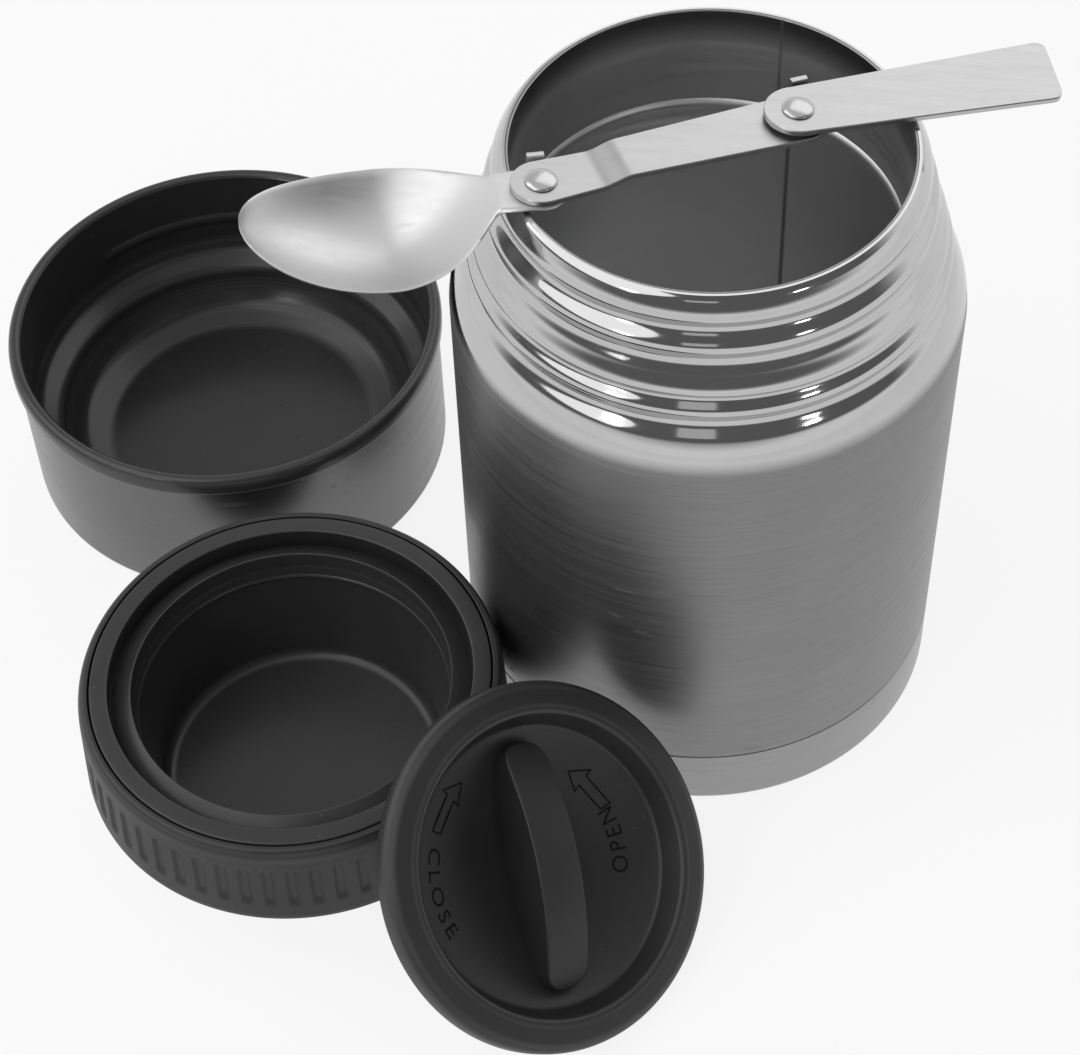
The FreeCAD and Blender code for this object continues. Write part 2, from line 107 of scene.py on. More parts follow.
def rounded(outline, steps=5):
    # Each corner (r, z, fillet) becomes a quadratic blend between its two tangent points.
    # The second result marks how far along a blend a point is: 1 in its middle, 0 off it.
    longestBlend = 0.48  # of a side, so that two neighbouring blends never meet
    points, soft = [], []
    count = len(outline)
    for i, item in enumerate(outline):
        corner = np.array(item[:2], float)
        fillet = item[2] if len(item) > 2 else 0
        if not fillet:
            points.append(corner)
            soft.append(0)
            continue
        back = np.array(outline[i - 1][:2], float) - corner
        ahead = np.array(outline[(i + 1) % count][:2], float) - corner
        a = corner + back * min(fillet / np.linalg.norm(back), longestBlend)
        b = corner + ahead * min(fillet / np.linalg.norm(ahead), longestBlend)
        for t in np.linspace(0, 1, steps):
            points.append((1 - t) ** 2 * a + 2 * t * (1 - t) * corner + t * t * b)
            soft.append(sin(pi * t))
    return np.array(points), np.array(soft)


def dense(points, soft, step):
    # Adds points along the long runs of an outline, evenly, no further apart than step
    out, marks = [], []
    for i in range(len(points)):
        a, b = points[i], points[(i + 1) % len(points)]
        cuts = max(1, ceil(np.linalg.norm(b - a) / step))
        if a[0] < onAxis and b[0] < onAxis:
            cuts = 1
        t = np.arange(cuts)[:, None] / cuts
        out.append(a + (b - a) * t)
        marks.append(soft[i] * (t[:, 0] == 0))
    return np.concatenate(out), np.concatenate(marks)


def latheChunk(outline, steps=256, dent=None, step=0, angles=None):
    # Full turn of a closed anticlockwise (radius, height, fillet) outline: x = r cos a, y = r sin a, z = h.
    # dent(r, z, a) may change the radius, for flutes and lugs.
    p, soft = rounded(outline)
    if step:
        p, soft = dense(p, soft, step)
    a = np.linspace(0, 2 * np.pi, steps, endpoint=False) if angles is None else angles
    steps = len(a)
    r = np.repeat(p[:, :1], steps, 1)
    z = np.repeat(p[:, 1:2], steps, 1)
    if dent is not None:
        r, z = dent(r, z, a[None, :])
    points = np.stack([r * np.cos(a), r * np.sin(a), z], -1).reshape(-1, 3)
    quads = gridFaces(len(p), steps, True, True)
    # A row on the axis shrinks to its first point, so the quads beside it become a fan of triangles
    pole = p[:, 0] < onAxis
    low = pole[quads[:, 0] // steps]
    high = pole[quads[:, 2] // steps]
    wall = quads[~low & ~high]
    fan = quads[low & ~high]
    fanLow = np.stack([fan[:, 0] // steps * steps, fan[:, 2], fan[:, 3]], -1)
    fan = quads[high & ~low]
    fanHigh = np.stack([fan[:, 0], fan[:, 1], fan[:, 2] // steps * steps], -1)
    return points, [f for f in (wall, fanLow, fanHigh) if len(f)], np.repeat(soft[:, None], steps, 1)


def lathe(name, outline, body, node, material, steps=256, crease=32, local=None, dent=None,
          step=0, angles=None, seam=None):
    points, faces, soft = latheChunk(outline, steps, dent, step, angles)
    marks = {"edge": soft, "seam": seam(points)} if seam else {"edge": soft}
    makeMesh(name, [(points, faces)], body, node, material, crease, local, marks)


def skinChunk(sections):
    # Closed sections, stations x points x 3, joined into a skin with a flat face on each end. Faces point
    # outwards where the stations go along +x and each section runs anticlockwise seen from +x.
    stations, count, _ = sections.shape
    ends = [np.arange(count)[::-1][None, :], (stations - 1) * count + np.arange(count)[None, :]]
    return sections.reshape(-1, 3), [gridFaces(stations, count)] + ends


# Shared shader groups


def newGroup(name, numbers, outputs):
    # A group that takes a vector and named numbers, and puts out named numbers
    tree = bpy.data.node_groups.new(name, "ShaderNodeTree")
    socket = tree.interface.new_socket
    socket(name="Vector", in_out="INPUT", socket_type="NodeSocketVector")
    for label, value in numbers.items():
        socket(name=label, in_out="INPUT", socket_type="NodeSocketFloat").default_value = value
    for label in outputs:
        socket(name=label, in_out="OUTPUT", socket_type="NodeSocketFloat")
    return tree, tree.nodes.new("NodeGroupInput").outputs, tree.nodes.new("NodeGroupOutput")


def addNode(tree, kind, inputs=None, **settings):
    node = tree.nodes.new(kind)
    for label, value in settings.items():
        setattr(node, label, value)
    for key, value in (inputs or {}).items():
        socket = node.inputs[key]
        if isinstance(value, bpy.types.NodeSocket):
            tree.links.new(value, socket)
        else:
            socket.default_value = value
    return node


def connect(tree, node, values):
    for key, value in values.items():
        tree.links.new(value, node.inputs[key])


def mathNode(tree, operation, a, b=0.0, c=0.0, clamp=False):
    node = addNode(tree, "ShaderNodeMath", {0: a, 1: b, 2: c}, operation=operation)
    node.use_clamp = clamp
    return node.outputs[0]


def mixColour(tree, factor, a, b):
    return addNode(tree, "ShaderNodeMix", {0: factor, 6: a, 7: b}, data_type="RGBA").outputs[2]


def mixNumber(tree, factor, a, b):
    return addNode(tree, "ShaderNodeMix", {0: factor, 2: a, 3: b}).outputs[0]


def noiseOf(tree, vector, scale, detail=3.0, rough=0.5):
    inputs = {"Vector": vector, "Scale": scale, "Detail": detail, "Roughness": rough}
    return addNode(tree, "ShaderNodeTexNoise", inputs).outputs["Fac"]


def rangeOf(tree, value, given, wanted=(0.0, 1.0), easing="LINEAR"):
    # Carries the given range of a value to the wanted one and clamps it there
    inputs = {"Value": value, "From Min": given[0], "From Max": given[1], "To Min": wanted[0],
              "To Max": wanted[1]}
    return addNode(tree, "ShaderNodeMapRange", inputs, interpolation_type=easing).outputs[0]


# Noise settings are scale, detail and roughness. Scales are per metre of the vector that comes in.
brushing = {"fine": (3.0, 4.0, 0.62), "broad": (0.45, 3.0, 0.55), "fineShare": 0.7}


def makeBrushGroup(s):
    # Brush lines: noise squeezed across the lines, so that its cells become long streaks
    tree, given, end = newGroup("brushLines", {}, ("Fine", "Broad", "Height"))
    fine = noiseOf(tree, given["Vector"], *s["fine"])
    broad = noiseOf(tree, given["Vector"], *s["broad"])
    height = mathNode(tree, "MULTIPLY_ADD", fine, s["fineShare"],
                      mathNode(tree, "MULTIPLY", broad, 1 - s["fineShare"]))
    connect(tree, end, {"Fine": fine, "Broad": broad, "Height": height})
    return tree


moulding = {"grain": (2.0, 0.6), "clouds": (45.0, 4.0, 0.6), "specks": 420.0, "speckEdge": (0.10, 0.05),
            "patches": (260.0, 1.0), "patchEdge": (0.58, 0.66)}


def makeGrainGroup(s):
    # Fine spark-eroded grain of moulded plastic, with slow clouds for handling marks and specks of dust
    tree, given, end = newGroup("mouldGrain", {"Size": 0.4}, ("Grain", "Clouds", "Dust"))
    inverse = mathNode(tree, "DIVIDE", 1 / mm, given["Size"])  # Size is in millimetres
    grain = noiseOf(tree, given["Vector"], inverse, *s["grain"])
    clouds = noiseOf(tree, given["Vector"], *s["clouds"])
    specks = addNode(tree, "ShaderNodeTexVoronoi", {"Vector": given["Vector"], "Scale": s["specks"]},
                     feature="F1").outputs["Distance"]
    dust = rangeOf(tree, specks, s["speckEdge"])
    sparse = rangeOf(tree, noiseOf(tree, given["Vector"], *s["patches"]), s["patchEdge"])
    connect(tree, end, {"Grain": grain, "Clouds": clouds, "Dust": mathNode(tree, "MULTIPLY", dust, sparse)})
    return tree


# Each set of scratches is a turn, and a scale along the lines. Across them the scale is thin.
scratching = {"sets": (((0.4, 0.2, 0.9), 18.0), ((-0.5, 0.3, 2.1), 26.0)), "thin": 420.0,
              "noise": (1.0, 2.0, 0.5), "crest": (0.70, 0.76), "smudge": (38.0, 3.0, 0.55)}


def makeScratchGroup(s):
    # Hairline scratches: two sets of stretched noise, cut to their thin crests
    tree, given, end = newGroup("hairlines", {}, ("Mask", "Smudge"))
    masks = []
    for turn, along in s["sets"]:
        line = addNode(tree, "ShaderNodeMapping", {"Vector": given["Vector"], "Rotation": turn,
                                                   "Scale": (along, s["thin"], s["thin"])}).outputs[0]
        masks.append(rangeOf(tree, noiseOf(tree, line, *s["noise"]), s["crest"]))
    smudge = noiseOf(tree, given["Vector"], *s["smudge"])
    connect(tree, end, {"Mask": mathNode(tree, "MAXIMUM", *masks), "Smudge": smudge})
    return tree


brushLines = makeBrushGroup(brushing)
mouldGrain = makeGrainGroup(moulding)
hairlines = makeScratchGroup(scratching)
print("groups made")


def startMaterial(name):
    material = bpy.data.materials.new(name)
    material.use_nodes = True
    tree = material.node_tree
    shader = tree.nodes["Principled BSDF"]
    coords = tree.nodes.new("ShaderNodeTexCoord").outputs["Object"]
    return material, tree, shader, coords


def useGroup(tree, group, inputs):
    return addNode(tree, "ShaderNodeGroup", inputs, node_tree=group)


def shade(value):
    return (value[0], value[1], value[2], 1.0) if isinstance(value, tuple) else (value, value, value, 1.0)


patternSpan = (0.3, 0.7)  # the part of a noise's 0 to 1 in which nearly all of it lies
steelBasics = {"turn": (0.0, 0.0, 0.0), "contrast": 0.6, "smudge": 0.08, "smudgeTone": 0.3, "scratch": 0.12,
               "scratchDeep": 0.2, "depth": 0.00004, "seamRough": 0.15}
polishBasics = {"smudge": 0.05, "scratch": 0.10, "fade": 0.93}


def steelMaterial(name, own):
    # Stainless steel: brush lines squeezed across one axis, hairline scratches, smudges and a shift in tone
    settings = {**steelBasics, **own}
    material, tree, shader, coords = startMaterial(name)
    lines = addNode(tree, "ShaderNodeMapping", {"Vector": coords, "Rotation": settings["turn"],
                                                "Scale": settings["lines"]}).outputs[0]
    brush = useGroup(tree, brushLines, {"Vector": lines})
    marks = useGroup(tree, hairlines, {"Vector": coords})
    dark, light = shade(settings["dark"]), shade(settings["light"])
    contrast, smudgeTone = settings["contrast"], settings["smudgeTone"]
    tone = mathNode(tree, "MULTIPLY_ADD", brush.outputs["Fine"], contrast, 0.5 - 0.5 * contrast)
    smudge = mathNode(tree, "MULTIPLY_ADD", marks.outputs["Smudge"], smudgeTone, -0.5 * smudgeTone)
    colour = mixColour(tree, mathNode(tree, "ADD", tone, smudge, 0, True), dark, light)
    rough = rangeOf(tree, brush.outputs["Broad"], patternSpan, settings["rough"])
    rough = mathNode(tree, "MULTIPLY_ADD", marks.outputs["Mask"], settings["scratch"], rough)
    rough = mathNode(tree, "MULTIPLY_ADD", marks.outputs["Smudge"], settings["smudge"], rough)
    height = mathNode(tree, "MULTIPLY_ADD", marks.outputs["Mask"], -settings["scratchDeep"],
                      brush.outputs["Height"])
    if "polish" in settings:
        # Above a height the brushing fades out and the metal is polished
        polish = {**polishBasics, **settings["polish"]}
        above = addNode(tree, "ShaderNodeSeparateXYZ", {0: coords}).outputs["Z"]
        mask = rangeOf(tree, above, (polish["from"] * mm, polish["to"] * mm))
        bright = mixColour(tree, marks.outputs["Smudge"], shade(polish["dark"]), shade(polish["light"]))
        colour = mixColour(tree, mask, colour, bright)
        smooth = mathNode(tree, "MULTIPLY_ADD", marks.outputs["Smudge"], polish["smudge"], polish["rough"])
        smooth = mathNode(tree, "MULTIPLY_ADD", marks.outputs["Mask"], polish["scratch"], smooth)
        rough = mixNumber(tree, mask, rough, smooth)
        keep = mathNode(tree, "MULTIPLY_ADD", mask, -polish["fade"], 1.0)
        height = mathNode(tree, "MULTIPLY", height, keep)
    if "seam" in settings:
        seam = addNode(tree, "ShaderNodeAttribute", None, attribute_name="seam").outputs["Fac"]
        colour = mixColour(tree, seam, colour, shade(settings["seam"]))
        rough = mathNode(tree, "MULTIPLY_ADD", seam, settings["seamRough"], rough)
    bump = addNode(tree, "ShaderNodeBump", {"Height": height, "Strength": settings["bump"],
                                            "Distance": settings["depth"]})
    connect(tree, shader, {"Base Color": colour, "Roughness": rough, "Normal": bump.outputs[0]})
    shader.inputs["Metallic"].default_value = 1.0
    return material


plasticBasics = {"grain": 0.4, "wear": 0.5, "worn": 0.09, "dust": 0.35, "dustShade": 0.22, "dustRough": 0.2,
                 "depth": 0.00006, "gloss": 0.5}


def plasticMaterial(name, own):
    # Moulded plastic or rubber: fine grain, handling clouds, a little dust, paler worn edges
    settings = {**plasticBasics, **own}
    material, tree, shader, coords = startMaterial(name)
    grain = useGroup(tree, mouldGrain, {"Vector": coords, "Size": settings["grain"]})
    colour = mixColour(tree, grain.outputs["Clouds"], shade(settings["dark"]), shade(settings["light"]))
    edge = addNode(tree, "ShaderNodeAttribute", None, attribute_name="edge").outputs["Fac"]
    worn = mathNode(tree, "MULTIPLY", edge, mathNode(tree, "MULTIPLY", grain.outputs["Clouds"],
                                                     settings["wear"]))
    colour = mixColour(tree, worn, colour, shade(settings["worn"]))
    dust = mathNode(tree, "MULTIPLY", grain.outputs["Dust"], settings["dust"])
    colour = mixColour(tree, dust, colour, shade(settings["dustShade"]))
    rough = rangeOf(tree, grain.outputs["Clouds"], patternSpan, settings["rough"])
    rough = mathNode(tree, "MULTIPLY_ADD", grain.outputs["Dust"], settings["dustRough"], rough)
    bump = addNode(tree, "ShaderNodeBump", {"Height": grain.outputs["Grain"], "Strength": settings["bump"],
                                            "Distance": settings["depth"]})
    connect(tree, shader, {"Base Color": colour, "Roughness": rough, "Normal": bump.outputs[0]})
    shader.inputs["Specular IOR Level"].default_value = settings["gloss"]
    return material


# Colours are linear, as one grey level or as red, green and blue
around = (30.0, 30.0, 2600.0)  # squeezed along z, so the brush lines run round an upright wall
even = (900.0, 900.0, 900.0)
steels = {
    # The shell's tones are the steel's own tone darkened as painted shade, standing in for the dim
    # surroundings that the brushed body reflects
    "shell": {"lines": around, "dark": 0.15, "light": 0.32, "rough": (0.34, 0.42), "bump": 0.35,
              "contrast": 0.8, "polish": {"from": 105.5, "to": 108.5, "dark": 0.46, "light": 0.56,
                                          "rough": 0.05}},
    "base": {"lines": around, "dark": 0.24, "light": 0.38, "rough": (0.26, 0.34), "bump": 0.30,
             "contrast": 0.8},
    # The vessel's tones are the steel's own tone made paler as a painted highlight on its bead
    "vessel": {"lines": around, "dark": 0.64, "light": 0.82, "rough": (0.34, 0.44), "bump": 0.35,
               "contrast": 0.8, "seam": 0.28, "polish": {"from": 133.0, "to": 139.5, "dark": 0.22,
                                                       "light": 0.30, "rough": 0.2}},
    "cup": {"lines": around, "dark": 0.09, "light": 0.20, "rough": (0.24, 0.32), "bump": 0.35,
            "contrast": 0.8},
    "pan": {"lines": even, "dark": 0.50, "light": 0.62, "rough": (0.16, 0.22), "bump": 0.05},
    "hidden": {"lines": (600.0, 600.0, 600.0), "dark": 0.34, "light": 0.42, "rough": (0.3, 0.4), "bump": 0.1},
    "copper": {"lines": (500.0, 500.0, 500.0), "dark": (0.55, 0.25, 0.15), "light": (0.66, 0.33, 0.21),
               "rough": (0.2, 0.35), "bump": 0.2},
    "spoonBowl": {"lines": (60.0, 1800.0, 1800.0), "turn": (0, 0, radians(-23.6)), "dark": 0.54,
                  "light": 0.66, "rough": (0.34, 0.42), "bump": 0.05, "contrast": 0.4},
    "strap": {"lines": (60.0, 2200.0, 2200.0), "turn": (0, 0, radians(-21.0)), "dark": 0.39, "light": 0.57,
              "rough": (0.26, 0.34), "bump": 0.25, "contrast": 0.7},
    "rivet": {"lines": even, "dark": 0.44, "light": 0.58, "rough": (0.14, 0.2), "bump": 0.06},
}
plastics = {
    "cupLiner": {"dark": 0.022, "light": 0.034, "rough": (0.20, 0.26), "bump": 0.05, "grain": 0.5,
                 "gloss": 0.4},
    "collar": {"dark": 0.008, "light": 0.014, "rough": (0.46, 0.56), "bump": 0.22, "grain": 0.35},
    "deck": {"dark": 0.014, "light": 0.021, "rough": (0.34, 0.42), "bump": 0.12, "grain": 0.35},
    "compartment": {"dark": 0.026, "light": 0.040, "rough": (0.26, 0.34), "bump": 0.08, "gloss": 0.4},
    "lid": {"dark": 0.014, "light": 0.024, "rough": (0.42, 0.50), "bump": 0.25, "grain": 0.35},
    "legend": {"dark": 0.004, "light": 0.007, "rough": (0.6, 0.7), "bump": 0.05, "dust": 0.0, "gloss": 0.15},
    "rubber": {"dark": 0.16, "light": 0.20, "rough": (0.55, 0.65), "bump": 0.3, "grain": 0.3, "worn": 0.25},
    "foam": {"dark": 0.70, "light": 0.80, "rough": (0.85, 0.95), "bump": 0.8, "grain": 1.2, "worn": 0.8,
             "depth": 0.0004},
    "pad": {"dark": 0.05, "light": 0.08, "rough": (0.8, 0.9), "bump": 0.7, "grain": 1.0, "depth": 0.0003},
    "solderGlass": {"dark": 0.25, "light": 0.32, "rough": (0.2, 0.3), "bump": 0.1},
    "getterMetal": {"dark": 0.28, "light": 0.36, "rough": (0.5, 0.6), "bump": 0.4},
}
steelOf = {name: steelMaterial(name + "Steel", settings) for name, settings in steels.items()}
plasticOf = {name: plasticMaterial(name + "Plastic", settings) for name, settings in plastics.items()}
print("materials made", len(steelOf) + len(plasticOf))

# The source's own nodes that are kept and only get a material
carried = {"heat_shield": steelOf["copper"], "vacuum_plate": steelOf["hidden"],
           "seal_plug": plasticOf["solderGlass"], "getter_pill": plasticOf["getterMetal"],
           "base_pad": plasticOf["pad"], "cap_foam": plasticOf["foam"], "cap_plug_collar": plasticOf["deck"],
           "cap_mouth_seal": plasticOf["rubber"], "lid_seal": plasticOf["rubber"],
           "lid_cover": plasticOf["lid"]}
for node, material in carried.items():
    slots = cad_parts[node].data.materials
    slots.clear()
    slots.append(material)

# Jar shell
jarShell = {"radius": 50.0, "seam": 15.8, "inset": 49.0, "plate": 7.0, "sheet": 0.8, "lip": 38.4,
            "weld": 37.9, "weldDeep": 1.6, "top": 141.1, "neckBottom": 104.0, "outsideSteps": 12,
            "insideSteps": 6, "neck": [(39.4, 139.9), (40.7, 137.2), (40.2, 134.4), (42.4, 131.3),
                                       (41.8, 128.2), (43.2, 125.6), (44.9, 122.6), (44.5, 120.9),
                                       (46.1, 118.4), (45.3, 115.4), (47.4, 112.3), (49.3, 108.2)]}


def smoothLine(points, count):
    # Catmull-Rom curve through the points: each span blends its end points and their neighbours' slopes
    p = np.array(points, float)
    padded = np.vstack([2 * p[0] - p[1], p, 2 * p[-1] - p[-2]])
    out = []
    for i in range(len(p) - 1):
        a, b, c, d = padded[i:i + 4]
        t = np.linspace(0, 1, count, endpoint=False)[:, None]
        out.append(0.5 * (2 * b + (c - a) * t + (2 * a - 5 * b + 4 * c - d) * t ** 2
                          + (3 * b - a - 3 * c + d) * t ** 3))
    out.append(p[-1:])
    return np.concatenate(out)


def makeShell(s):
    # The neck's line runs down outside and, a sheet further in, up inside
    line = [(s["lip"], s["top"])] + s["neck"] + [(s["radius"], s["neckBottom"])]
    outside = smoothLine(line, s["outsideSteps"])[::-1]
    line = [(s["weld"], s["top"] - s["weldDeep"])] + [(r - s["sheet"], z) for r, z in line[2:]]
    inside = smoothLine(line, s["insideSteps"])
    inner = s["inset"] - s["sheet"]
    outline = [(s["inset"], s["plate"]), (s["inset"], s["seam"]), (s["radius"], s["seam"], 0.3)]
    outline += [tuple(p) for p in outside] + [(s["weld"], s["top"])] + [tuple(p) for p in inside]
    outline += [(s["radius"] - s["sheet"], s["seam"] + s["sheet"]), (inner, s["seam"] + s["sheet"]),
                (inner, s["plate"])]
    lathe("jar_shell", outline, "jar", "outer_shell", steelOf["shell"], crease=40)


makeShell(jarShell)

# The panel is the raised middle of the underside, and the foot is the ring that the jar stands on
baseBand = {"radius": 50.0, "top": 15.6, "inner": 49.05, "corner": 1.2, "panelEdge": 7, "panel": 1.6,
            "footEdge": 5, "insideEdge": 4, "inside": 2.4}


def makeBase(s):
    outer = s["radius"]
    outline = [(0, s["panel"]), (outer - s["panelEdge"], s["panel"], 0.6), (outer - s["footEdge"], 0, 0.6),
               (outer - s["corner"], 0, 0.5), (outer, s["corner"], 0.9), (outer, s["top"], 0.25),
               (s["inner"], s["top"]), (s["inner"], s["inside"]), (outer - s["insideEdge"], s["inside"]),
               (0, s["inside"])]
    lathe("jar_base_band", outline, "jar", "base_cap", steelOf["base"])


makeBase(baseBand)

vessel = {"mouth": 37.3, "top": 141.1, "sheet": 0.6, "wide": 45.6, "floor": 12.6, "shoulder": 107.0,
          "bead": 117.6, "beadHalf": 1.3, "beadDeep": 0.7, "lines": 240, "seamAt": 70.0, "seamHalf": 0.6,
          "seamLines": (0, 0.25, 0.5, 0.75, 1.1, 1.6)}  # the seam's place, width and mesh lines in degrees


def makeVessel(s):
    # The wall, with a pressed bead under the neck and the tube's butt weld running down one side
    wide = s["wide"] + s["sheet"]
    low = s["floor"] - s["sheet"]
    bead = [(s["mouth"] - s["beadDeep"] * cos(t) ** 2, s["bead"] + s["beadHalf"] * sin(t))
            for t in np.linspace(pi / 2, -pi / 2, 11)]
    outline = [(s["mouth"], s["top"], 0.25), *bead, (s["mouth"], s["bead"] - 1.9, 0.6),
               (s["wide"], s["shoulder"], 3.0), (s["wide"], low + 5.2, 4.0), (wide - 5.2, s["floor"], 3.0),
               (0, s["floor"]), (0, low), (wide - 5, low, 3.0), (wide, low + 5, 4.0),
               (wide, s["shoulder"], 3.0), (s["mouth"] + s["sheet"], s["bead"] - 1.6),
               (s["mouth"] + s["sheet"], s["top"], 0.25)]
    middle = radians(s["seamAt"])
    side = np.radians(s["seamLines"])
    spread = np.linspace(0, 2 * np.pi, s["lines"], endpoint=False)
    spread = spread[np.abs(spread - middle) > side[-1] * 1.15]  # clear of the seam's own lines
    angles = np.sort(np.concatenate([spread, middle - side[1:], middle + side]))

    def seam(points):
        a = np.arctan2(points[:, 1], points[:, 0]) % (2 * np.pi)
        return np.clip(1.3 - np.abs(a - middle) / radians(s["seamHalf"]), 0, 1)

    lathe("jar_vessel", outline, "jar", "inner_vessel", steelOf["vessel"], crease=34,
          angles=angles, seam=seam)


makeVessel(vessel)
print("jar made")

# Cup
cup = {"radius": 47.9, "height": 40.4, "flange": 48.9, "flangeDeep": 4.0, "sheet": 0.6, "inner": 46.0,
       "waist": 40.5, "floor": 4.6, "rowStep": 0.7, "lugs": 4, "lugHeight": 27.0, "lugDeep": 0.7,
       "lugHalf": 1.5, "lugShare": 0.275, "lugEnd": 0.03}  # the last two are shares of a lug's turn


def makeCupShell(s):
    outer, sheet = s["radius"], s["sheet"]
    top = s["height"] - s["flangeDeep"]
    outline = [(0, 1.0), (outer - 9, 1.0, 0.4), (outer - 8, 0, 0.4), (outer - 2.2, 0, 1.2), (outer, 2.2, 1.2),
               (outer, top), (outer - sheet, top), (outer - sheet, 2.5, 1.2), (outer - 2.5, sheet, 1.2),
               (outer - 7.7, sheet), (outer - 8.7, 1.0 + sheet), (0, 1.0 + sheet)]
    lathe("cup_wall", outline, "cup", "cup_shell", steelOf["cup"])


def makeCupLiner(s):
    # The wall steps in to a narrower waist; four rounded lugs stand out of the upper wall
    wall = s["radius"] - s["sheet"] - 0.05
    under = s["height"] - s["flangeDeep"] + 0.05
    inner, waist, floor, top = s["inner"], s["waist"], s["floor"], s["height"]
    outline = [(0, floor), (31.0, floor, 1.5), (36.5, floor + 1.8, 2.0), (waist - 0.6, floor + 6.5, 2.0),
               (waist, 15.0, 1.2), (inner - 1.2, 17.5, 0.8), (inner, 20.0, 1.6), (inner, top - 0.8),
               (inner + 0.6, top, 0.7), (s["flange"] - 0.8, top, 0.9), (s["flange"], top - 1.2, 0.9),
               (s["flange"], under, 0.3), (wall, under), (wall, 17.0), (waist + 1.4, 14.0),
               (waist + 0.4, floor + 4.5), (37.0, floor - 0.2), (31.4, floor - 1.4), (0, floor - 1.4)]

    def dent(r, z, a):
        share = (a / (2 * np.pi) * s["lugs"]) % 1
        along = np.clip((s["lugShare"] - np.abs(share - s["lugShare"])) / s["lugEnd"], 0, 1)
        tall = np.clip(1 - ((z - s["lugHeight"]) / s["lugHalf"]) ** 2, 0, 1)
        onWall = np.abs(r - inner) < 0.2
        return r - s["lugDeep"] * along * tall * onWall, z

    lathe("cup_lining", outline[::-1], "cup", "cup_liner", plasticOf["cupLiner"], crease=30,
          dent=dent, step=s["rowStep"])


makeCupShell(cup)
makeCupLiner(cup)
print("cup made")

# Stopper cap
stopper = {"skirtLow": 44.6, "skirtHigh": 43.3, "bottom": 15.0, "top": 37.2, "inner": 42.9, "flutes": 58,
           "fluteLow": 20.4, "fluteHigh": 31.8, "fluteDeep": 0.55, "fluteHalf": 0.25, "fluteSide": 0.07,
           "fluteEnd": 0.6, "fluteSteps": 14, "rowStep": 0.6, "deckOuter": 41.0,
           "deckInner": 37.25, "deckTop": 37.3, "seatLow": 32.5, "seatHigh": 35.3, "throat": 32.7,
           "floorRadius": 29.4, "floor": 4.2, "wall": 1.5, "nose": 28.2, "noseHalf": 0.7, "noseDeep": 0.5,
           "panRadius": 36.4, "panTop": 28.0, "panSheet": 0.6, "gap": 0.35}


def makeCollar(s):
    # The skirt tapers outwards as it goes down; each flute is a flat-bottomed pocket with sloped ends
    top, inner = s["top"], s["inner"]
    hole = s["deckOuter"] + s["gap"]
    outline = [(inner, s["bottom"]), (s["skirtLow"] - 0.2, s["bottom"], 0.5),
               (s["skirtLow"], s["bottom"] + 0.9, 0.7), (s["skirtHigh"] + 0.25, top - 2.4, 1.2),
               (s["skirtHigh"] - 0.3, top - 0.7, 0.7), (s["skirtHigh"] - 1.0, top, 0.6), (hole, top, 0.2),
               (hole, top - 3.4), (inner - 1.1, top - 4.2), (inner - 1.1, 30.4), (inner, 29.6)]

    def flutes(r, z, a):
        share = (a / (2 * np.pi) * s["flutes"]) % 1
        across = np.clip((s["fluteHalf"] - np.abs(share - 0.5)) / s["fluteSide"], 0, 1)
        middle, half = (s["fluteLow"] + s["fluteHigh"]) / 2, (s["fluteHigh"] - s["fluteLow"]) / 2
        tall = np.clip((half - np.abs(z - middle)) / s["fluteEnd"], 0, 1)
        outside = r > s["skirtHigh"] - 0.1
        return r - s["fluteDeep"] * across * tall * outside, z

    lathe("stopper_collar", outline, "cap", "cap_collar", plasticOf["collar"],
          s["flutes"] * s["fluteSteps"], 30, dent=flutes, step=s["rowStep"])


def makeDeck(s):
    # A flat ring whose foot reaches in under the compartment's seat
    low, foot, edge = s["seatLow"] - 1.4, s["throat"] + 1.6, s["inner"] - 1.15
    outline = [(s["deckInner"], s["seatLow"]), (foot, s["seatLow"]), (foot, low),
               (edge, low), (edge, s["top"] - 4.5), (s["deckOuter"], s["top"] - 4.4),
               (s["deckOuter"], s["deckTop"], 0.45), (s["deckInner"], s["deckTop"], 0.45)]
    lathe("stopper_deck", outline, "cap", "cap_deck", plasticOf["deck"])


def makeCompartment(s):
    # A tapered cup with a ring nose under its throat and a conical seat for the twist lid
    wall, throat, floor = s["wall"], s["throat"] - 0.5, s["floor"]
    nose = [(throat + 0.15 - s["noseDeep"] * cos(t) ** 2, s["nose"] + s["noseHalf"] * sin(t))
            for t in np.linspace(-pi / 2, pi / 2, 9)]
    outline = [(0, floor), (s["floorRadius"], floor, 2.2), *nose, (throat, 29.0), (s["throat"], 31.0, 0.5),
               (s["throat"], s["seatHigh"], 0.5), (s["deckInner"] - 0.1, s["seatLow"] + 0.05),
               (s["throat"] + wall, s["seatLow"] + 0.05), (s["throat"] + wall, 30.6), (throat + wall, 29.4),
               (s["floorRadius"] + wall, floor - 0.2), (s["floorRadius"], floor - wall), (0, floor - wall)]
    lathe("stopper_compartment", outline[::-1], "cap", "cap_compartment",
          plasticOf["compartment"])


def makePan(s):
    outer, sheet = s["panRadius"], s["panSheet"]
    outline = [(0, 1.0), (24.0, 1.0, 0.6), (26.0, 0, 0.6), (outer - 1.8, 0, 1.2), (outer, 1.8, 1.2),
               (outer, s["panTop"], 0.15), (outer - sheet, s["panTop"], 0.15), (outer - sheet, 2.1, 0.9),
               (outer - 2.1, sheet, 0.9), (26.3, sheet), (24.3, 1.0 + sheet), (0, 1.0 + sheet)]
    lathe("stopper_pan", outline, "cap", "cap_pan", steelOf["pan"])


makeCollar(stopper)
makeDeck(stopper)
makeCompartment(stopper)
makePan(stopper)
print("stopper made")

